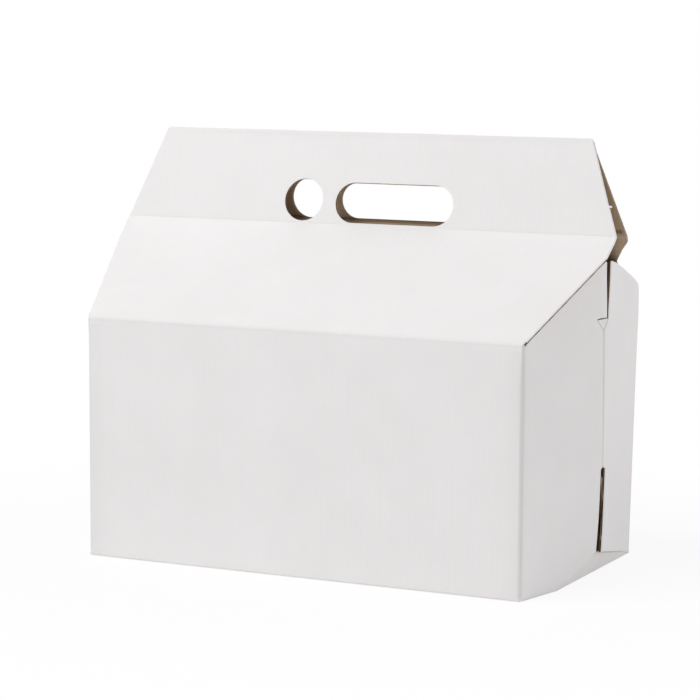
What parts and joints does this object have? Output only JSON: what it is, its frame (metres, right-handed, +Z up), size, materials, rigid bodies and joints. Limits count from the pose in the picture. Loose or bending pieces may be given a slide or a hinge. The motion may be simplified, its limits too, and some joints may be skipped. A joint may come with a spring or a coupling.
{
  "type": "chicken takeout box",
  "caption": "White corrugated board takeout box with a gable lid folded up into a double handle, with a hand slot and a round hole; the closed ends are creased down the middle.",
  "frame": {"origin": "centre of the base, on the surface that the box stands on", "axes": "+X to the right along the front wall, the longest side; +Y from the front wall to the back wall; +Z up. The lid's hinge fold is along the top of the front wall."},
  "size_m": [0.29, 0.168, 0.2295],
  "materials": {
    "board": "matte"
  },
  "bodies": {
    "box": {"box_body": "board"},
    "lid": {"gable_lid": "board"}
  },
  "joints": [
    {"name": "lid_hinge", "type": "hinge", "parent": "box", "child": "lid", "pos_m": [0, -0.084, 0.129], "axis": [1, 0, 0], "range_deg": [0, 120]}
  ]
}
